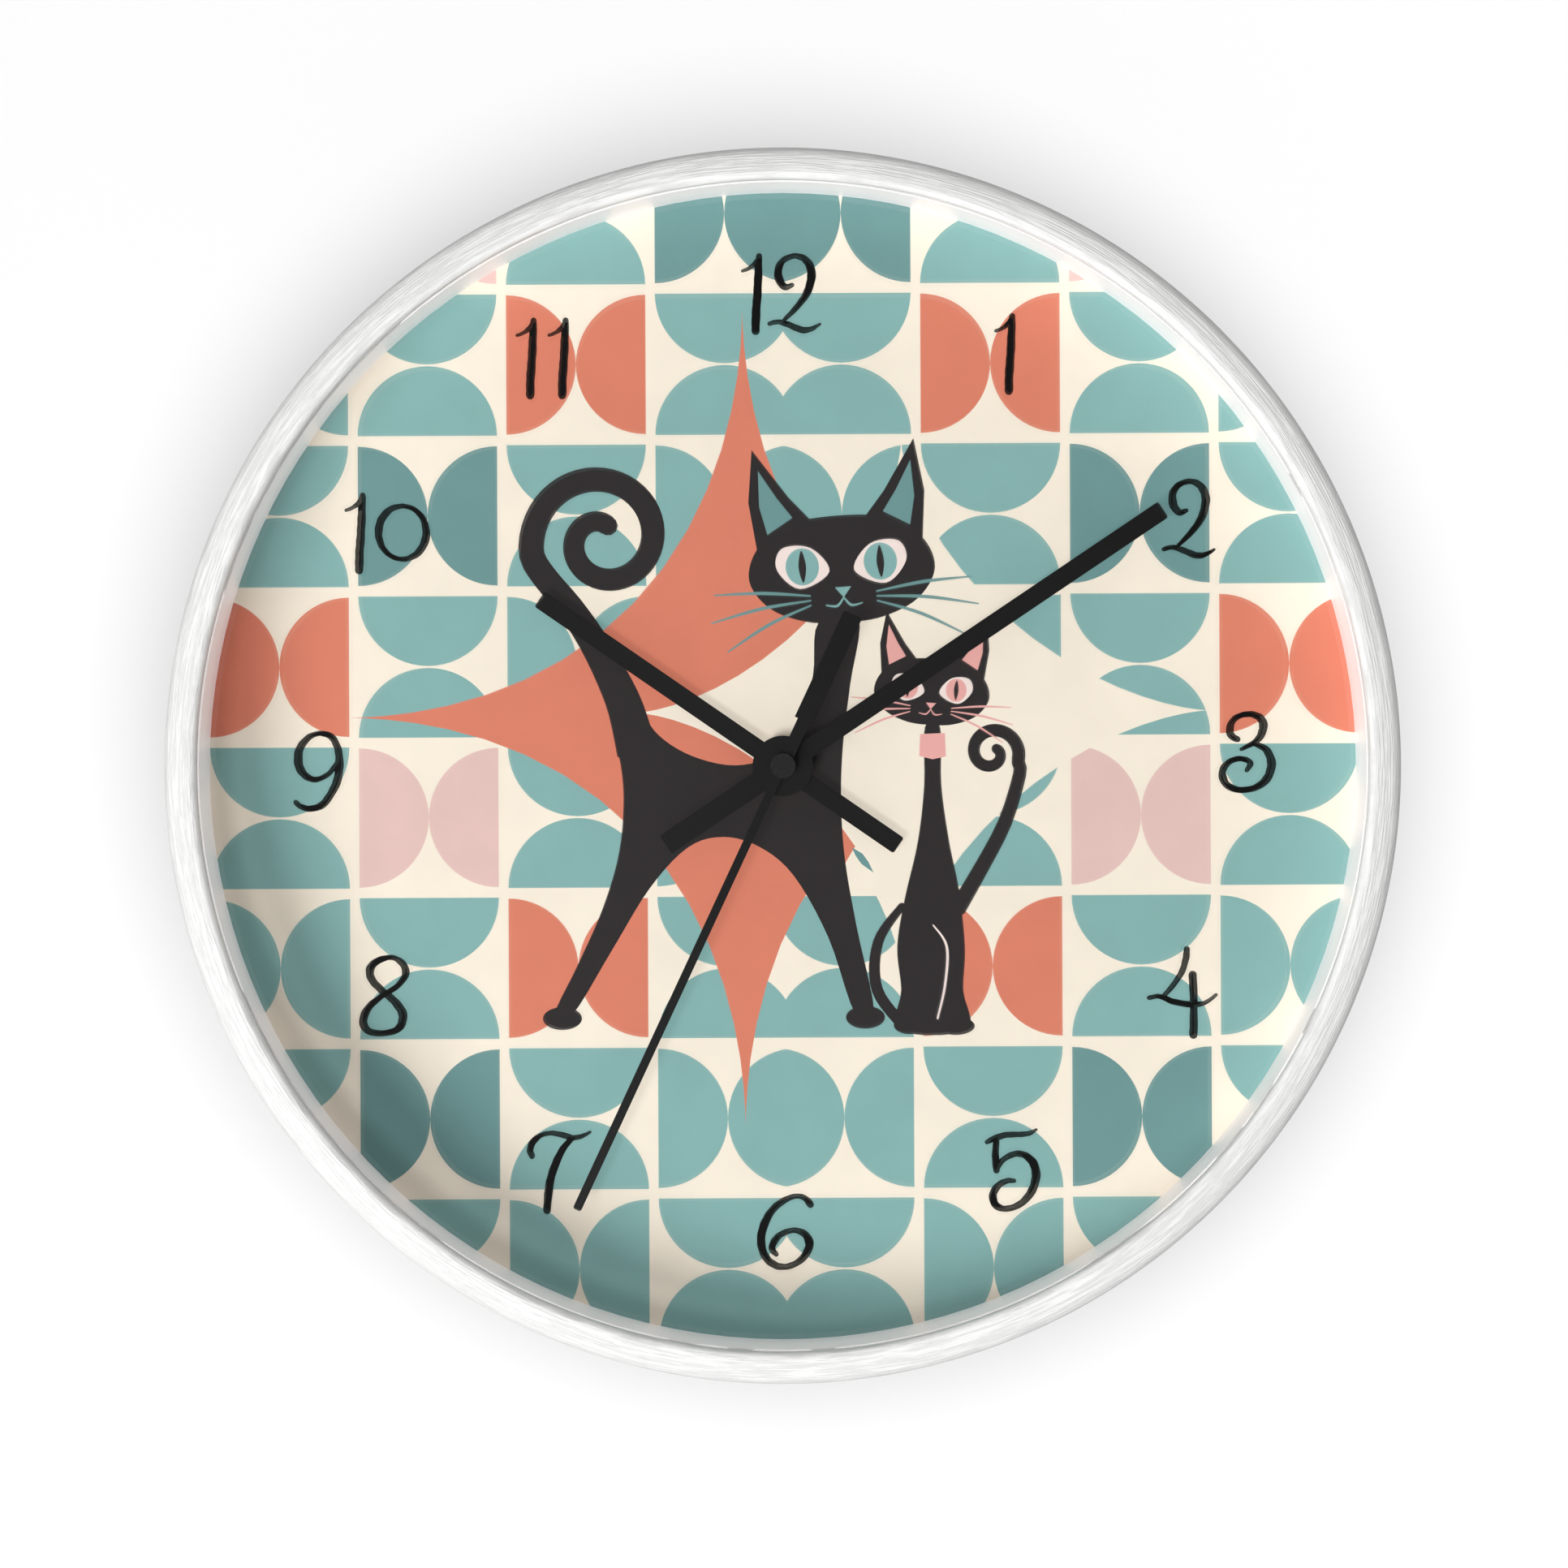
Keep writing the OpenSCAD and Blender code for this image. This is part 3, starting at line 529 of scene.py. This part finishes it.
FOUR = [[(0.6, 9.0, 1.1), (0.4, 7.1, 1.2), (-0.4, 4.4, 1.1), (-2.1, 1.7, 1.0), (-4.3, -0.8, 0.8)],
        [(-7.4, -1.2, 0.8), (-5.1, -0.9, 0.9), (-2.3, -2.0, 1.1), (1.4, -2.6, 1.1), (4.3, -2.3, 0.8),
         (6.7, -0.6, 0.6)],
        [(1.8, 3.6, 1.5), (2.0, -2.4, 1.4), (1.9, -9.0, 1.5)]]
FIVE = [[(-6.0, 5.6, 0.8), (-4.4, 6.4, 1.1), (-2.0, 7.1, 1.1), (0.6, 7.2, 1.0), (2.8, 7.4, 0.9),
         (4.4, 8.2, 0.5)],
        [(-4.0, 5.9, 1.1), (-4.2, 2.8, 1.3), (-4.0, -0.3, 1.2)],
        [(-4.0, -0.3, 0.8), (-2.8, 1.7, 1.0), (-0.6, 3.0, 1.1), (1.6, 3.0, 1.2), (3.6, 1.4, 1.5),
         (4.3, -1.2, 1.6),
         (3.6, -4.2, 1.5), (1.6, -6.9, 1.3), (-1.0, -8.2, 1.1), (-3.2, -8.2, 1.2), (-4.6, -6.9, 1.4),
         (-4.6, -4.9, 1.4), (-3.4, -3.3, 1.2), (-1.7, -2.5, 1.0), (-0.3, -2.5, 0.8)]]
SIX = [[(5.2, 5.5, 1.3), (4.2, 6.7, 1.1), (2.5, 7.3, 0.9), (0.1, 6.6, 1.1), (-2.3, 4.9, 1.3),
        (-4.3, 1.9, 1.5),
        (-5.2, -1.9, 1.5), (-4.4, -5.2, 1.4), (-2.4, -7.1, 1.3), (0.1, -7.5, 1.1), (2.9, -6.3, 1.2),
        (4.8, -3.7, 1.5),
        (4.7, -1.7, 1.5), (3.4, -0.3, 1.2), (1.4, 0.1, 1.0), (-0.8, -0.6, 1.1), (-2.3, -2.0, 1.3),
        (-2.9, -3.7, 1.2),
        (-2.0, -4.9, 0.9)]]
SEVEN = [[(-5.8, 2.8, 1.1), (-6.2, 4.2, 1.2), (-5.5, 5.9, 1.2), (-3.8, 7.2, 0.9), (-1.6, 7.6, 0.9),
          (1.0, 7.1, 1.1),
          (2.8, 6.6, 1.0), (4.8, 7.0, 0.8), (6.4, 7.8, 0.5)],
         [(2.9, 6.7, 0.8), (0.9, 4.6, 1.2), (-1.0, 0.9, 1.4), (-2.2, -3.4, 1.5), (-2.7, -8.6, 1.4)]]
EIGHT = [[(0.8, 8.1, 0.9), (-1.4, 7.4, 1.2), (-3.0, 5.8, 1.5), (-2.8, 3.6, 1.4), (-0.9, 1.4, 1.3),
          (1.7, -0.8, 1.4),
          (3.6, -3.4, 1.6), (3.5, -5.8, 1.5), (1.9, -7.4, 1.2), (-1.6, -7.8, 1.1), (-4.0, -6.9, 1.4),
          (-4.5, -4.7, 1.5), (-3.3, -2.3, 1.3), (-0.9, -0.2, 1.0), (2.4, 1.9, 1.0), (4.3, 4.3, 1.3),
          (4.0, 6.4, 1.3),
          (2.4, 7.8, 1.0), (0.8, 8.1, 0.9)]]
NINE = [[(2.6, 7.0, 1.1), (0.4, 7.7, 0.9), (-2.3, 6.8, 1.1), (-4.2, 4.2, 1.5), (-4.3, 1.0, 1.6),
         (-2.9, -1.2, 1.3),
         (-0.7, -2.0, 1.0), (1.9, -0.8, 0.9), (3.8, 1.6, 0.9)],
        [(0.4, 7.7, 0.9), (2.5, 7.0, 1.2), (3.8, 4.7, 1.3), (4.2, 1.6, 1.5), (3.8, -1.9, 1.5),
         (2.4, -5.0, 1.4),
         (0.4, -7.4, 1.3), (-2.0, -8.1, 1.1), (-4.0, -7.6, 1.0), (-5.0, -6.7, 0.9)]]
ZERO = [[(5.0 * math.cos(a), 5.6 * math.sin(a), 1.15 + 0.3 * math.cos(2 * a + 0.6))
         for a in (math.radians(90 + 30 * i) for i in range(13))]]
DIGITS = [ZERO, ONE, TWO, THREE, FOUR, FIVE, SIX, SEVEN, EIGHT, NINE]

# number: [(digit, x, z), ...] with each digit's middle on the dial
NUMBERS = [
    [(1, 47.9, 86.1)], [(2, 85.6, 51.3)], [(3, 97.4, 2.5)], [(4, 83.9, -47.7)], [(5, 48.4, -84.6)],
    [(6, 0.2, -97.4)], [(7, -47.1, -84.3)], [(8, -83.6, -47.8)], [(9, -97.1, -0.4)],
    [(1, -88.4, 49.1), (0, -79.5, 49.3)], [(1, -52.4, 85.6), (1, -45.7, 85.6)],
    [(1, -5.1, 98.9), (2, 3.2, 98.9)],
]


def artwork():
    """All of the print's shapes, the lowest first."""
    art = Print()
    for column, cells in COLUMNS.items():
        left = MIDDLE_X - MIDDLE_HALF - GAP - TILE_W - column * (TILE_W + GAP)
        right = 2 * MIDDLE_X - left - TILE_W
        for row, cell in enumerate(cells):
            if cell:
                for x0 in (left, right):
                    tile(art, x0, TOP_ROW_Z + PITCH - row * PITCH, *cell)
    for row, cell in enumerate(MIDDLE):
        middle_tile(art, TOP_ROW_Z + PITCH - row * PITCH, *cell)
    art.add(CORAL, star(-8.1, 10.5, 83.2, 83.2, 85.8, 86.4, 0.54))
    art.add(CREAM, star(25.1, 11.3, 56, 64.2, 57, 57, 0.65))
    art.add(CORAL, [(7.5, -7.5), (10.2, -10), (15.1, -16.9), (10.2, -25), (7.5, -28)])
    art.add(DARK_TEAL, [(14.4, -17.1), (16.6, -18.4), (17.9, -20.2), (18.9, -22.4), (16.4, -20.6),
                        (15.2, -18.9)])
    big_cat(art)
    small_cat(art)
    for number in NUMBERS:
        for digit, x, z in number:
            for line in DIGITS[digit]:
                art.stroke(INK, moved([(a, b, w * BRUSH) for a, b, w in line], x, z), 6, 0.05)
    art.shapes = [(c, moved(p, 0, 0, PRINT_TILT)) for c, p in art.shapes]
    return art.shapes


def build_dial():
    """One closed sheet whose front is cut into the artwork's colours."""
    low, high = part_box("dial")
    radius = (high[0] - low[0]) / 2 / MM - SHEET_PLAY
    disc = circle(0, 0, radius, steps=256)
    hole = circle(0, 0, HOLE_R, steps=48)
    shapes = [(CREAM, disc)] + artwork() + [(None, hole)]
    verts, faces = [], []
    for _, points in shapes:
        faces.append(list(range(len(verts), len(verts) + len(points))))
        verts += [Vector(p) for p in points]
    cut = delaunay_2d_cdt(verts, [], faces, 0, 1e-4, True)
    points, triangles, owners = cut[0], cut[2], cut[5]

    colours = []
    for colour, _ in shapes:
        if colour and colour not in colours:
            colours.append(colour)
    mesh = bpy.data.meshes.new("printed_dial")
    for colour in colours:
        mesh.materials.append(printed("print_" + COLOUR_NAMES[colour], colour))
    mesh.materials.append(printed("card_back", (226, 222, 212)))
    bm = bmesh.new()
    front = [bm.verts.new((x * MM, low[1], y * MM)) for x, y in points]
    back = [bm.verts.new((x * MM, high[1], y * MM)) for x, y in points]
    edges = {}
    for tri, own in zip(triangles, owners):
        if 0 not in own:
            continue
        colour = shapes[max(own)][0]
        if colour is None:
            continue
        face = bm.faces.new([front[i] for i in tri])
        face.material_index = colours.index(colour)
        face = bm.faces.new([back[i] for i in reversed(tri)])
        face.material_index = len(colours)
        for i, a in enumerate(tri):
            b = tri[(i + 1) % len(tri)]
            edges[(a, b)] = edges.get((a, b), 0) + 1
    for a, b in edges:
        if (b, a) not in edges:
            face = bm.faces.new([front[b], front[a], back[a], back[b]])
            face.material_index = len(colours)
    bmesh.ops.delete(bm, geom=[v for v in bm.verts if not v.link_faces], context="VERTS")
    bm.to_mesh(mesh)
    bm.free()
    dial = bpy.data.objects.new("printed_dial", mesh)
    bpy.context.scene.collection.objects.link(dial)
    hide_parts("dial")
    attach(dial, "case")


# ---- ring frame ---------------------------------------------------------------------------------

def lathe(name, profile, steps, material):
    """A closed profile of (radius, distance from the wall) in millimetres, turned about the Y axis."""
    bm = bmesh.new()
    rings = []
    for i in range(steps):
        a = 2 * math.pi * i / steps
        rings.append([bm.verts.new((r * MM * math.cos(a), -d * MM, r * MM * math.sin(a)))
                      for r, d in profile])
    n = len(profile)
    for i in range(steps):
        a, b = rings[i], rings[(i + 1) % steps]
        for k in range(n):
            bm.faces.new([a[k], a[(k + 1) % n], b[(k + 1) % n], b[k]])
    bmesh.ops.recalc_face_normals(bm, faces=bm.faces)
    for face in bm.faces:
        face.smooth = True
    mesh = bpy.data.meshes.new(name)
    bm.to_mesh(mesh)
    bm.free()
    mesh.materials.append(material)
    obj = bpy.data.objects.new(name, mesh)
    bpy.context.scene.collection.objects.link(obj)
    return obj


LIP_W = 6.8              # the ring's front face, from the outside to the lip
RABBET_W = 2.8           # how far the lip reaches over the lens


def build_ring():
    """The ring frame with its rounded edges, from the wall forward and back down the inside."""
    low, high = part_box("frame_ring")
    outer = high[0] / MM
    depth = -low[1] / MM
    lip = outer - LIP_W
    rabbet = lip + RABBET_W
    edge, crown, inner = 3.4, 0.5, 1.5
    profile = circle(outer - 1, 1, 1, a0=-90, a1=0, steps=6)
    profile += [(outer, 6), (outer, 16), (outer, 28)]
    profile += circle(outer - edge, depth - crown - edge, edge, a0=0, a1=78, steps=14)
    profile += [(outer - edge - 0.1, depth - 0.32), (outer - edge - 0.9, depth - 0.12),
                (outer - edge - 1.7, depth - 0.02)]
    profile += circle(lip + inner, depth - inner, inner, a0=90, a1=180, steps=8)
    profile += [(lip, depth - 2), (lip, depth - 2.9), (lip + 0.1, depth - 3), (rabbet - 0.1, depth - 3),
                (rabbet, depth - 3.1), (rabbet, 24), (rabbet, 12), (rabbet, 0.3), (rabbet + 0.3, 0)]
    ring = lathe("painted_ring", profile, 288, finishes["painted_wood"])
    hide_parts("frame_ring")
    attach(ring, "case")
    return ring


ring = build_ring()
build_dial()

# broken edges of some painted, moulded and turned parts, in millimetres
EDGE_WIDTHS = {"hour_hand": 0.12, "minute_hand": 0.12, "second_hand": 0.1, "second_hand_cap": 0.25,
               "setting_knob": 0.2, "hex_nut": 0.15}
for name, width in EDGE_WIDTHS.items():
    bevel = nodes[name].modifiers.new("edges", "BEVEL")
    bevel.width = width * MM
    bevel.segments = 2
    bevel.limit_method = "ANGLE"
    bevel.angle_limit = math.radians(40)


# ---- stage, light and camera ----------------------------------------------------------------------

def stage_plane(name, corners, material):
    mesh = bpy.data.meshes.new(name)
    mesh.from_pydata(corners, [], [(0, 1, 2, 3)])
    mesh.materials.append(material)
    obj = bpy.data.objects.new(name, mesh)
    bpy.context.scene.collection.objects.link(obj)
    return obj


def wall_paint():
    """Pale wall that isn't there when seen from behind."""
    n = Nodes("stage_wall")
    n.finish(color=linear((250, 250, 250)), rough=0.9, spec=0.1)
    clear = n.new("ShaderNodeBsdfTransparent")
    side = n.new("ShaderNodeNewGeometry").outputs["Backfacing"]
    mix = n.new("ShaderNodeMixShader", {0: side, 1: n.bsdf.outputs[0], 2: clear.outputs[0]})
    out = n.tree.nodes["Material Output"]
    n.tree.links.new(mix.outputs[0], out.inputs[0])
    return n.material


wall = stage_plane("stage_wall", [(-3, 0.0004, -2), (3, 0.0004, -2), (3, 0.0004, 3), (-3, 0.0004, 3)],
                   wall_paint())
wall.visible_shadow = False
wall.visible_diffuse = False
wall.visible_glossy = False
floor = stage_plane("stage_floor", [(-4, -5, -2), (4, -5, -2), (4, 5, -2), (-4, 5, -2)],
                    moulded("stage_floor", (236, 236, 236), (0.8, 0.9), 20, 0.0001, 0.01))


def group(name, objects):
    """A collection that a lamp can be kept to."""
    out = bpy.data.collections.new(name)
    for obj in objects:
        out.objects.link(obj)
    return out


stage_things = [wall, floor]
clock = [o for o in bpy.context.scene.objects if o.type == "MESH" and o not in stage_things]
hands = [nodes[n] for n in ("hour_hand", "minute_hand", "second_hand")]
other_lights = [ring, nodes["spacer_ring"], nodes["lens"]]
face = group("face_things", [o for o in clock if o not in other_lights])
casters = group("shade_casters", [o for o in clock if o not in hands])
behind = group("behind_things", [o for o in clock if o is not ring])
rings = group("ring_things", [ring])
inner = group("inner_things", [nodes["spacer_ring"]])
stage = group("stage_things", stage_things)


ORIGIN = Vector((0, 0, 0))


def lamp(name, at, size, power, lights, shaded_by=None):
    """A round soft lamp aimed at the clock's middle, which lights one group of objects.

    Where shaded_by is given, only that group throws the lamp's shade.
    """
    light = bpy.data.lights.new(name, "AREA")
    light.shape = "DISK"
    light.size = size
    light.energy = power
    obj = bpy.data.objects.new(name, light)
    obj.location = at
    obj.rotation_euler = (ORIGIN - Vector(at)).to_track_quat("-Z", "Y").to_euler()
    bpy.context.scene.collection.objects.link(obj)
    obj.light_linking.receiver_collection = lights
    if shaded_by:
        obj.light_linking.blocker_collection = shaded_by


lamp("key", at=(-1.2, -1.35, -1.1), size=1.1, power=40.5, lights=face, shaded_by=casters)
lamp("fill", at=(-0.6, -2.2, -0.55), size=0.55, power=11, lights=face)
lamp("ring_key", at=(-1.2, -1.4, -1.0), size=1.1, power=29.5, lights=rings)
lamp("ring_front", at=(0, -1.0, 0), size=3.0, power=12, lights=rings)
lamp("inner", at=(0, -1.0, 0), size=3.0, power=37, lights=inner)
lamp("inner_key", at=(-1.2, -1.4, -1.0), size=1.1, power=28, lights=inner)
lamp("back", at=(0.7, 1.6, 0.9), size=1.2, power=30, lights=behind)
lamp("ring_back", at=(0.03, 1.8, 0.04), size=0.14, power=25, lights=rings)
lamp("wall_soft", at=(0.12, -2.2, -0.05), size=3.0, power=53, lights=stage)

world = bpy.data.worlds.new("World")
world.use_nodes = True
world.node_tree.nodes["Background"].inputs[0].default_value = (1, 1, 1, 1)
world.node_tree.nodes["Background"].inputs[1].default_value = 0.28
bpy.context.scene.world = world
bpy.context.scene.view_settings.view_transform = "Standard"

camera = bpy.data.objects.new("camera", bpy.data.cameras.new("camera"))
camera.data.lens = 88.7
camera.data.sensor_width = 36
camera.data.clip_start = 0.01
camera.location = (0.00025, -0.832, -0.00375)
camera.rotation_euler = (math.radians(90), 0, 0)
bpy.context.scene.collection.objects.link(camera)
bpy.context.scene.camera = camera
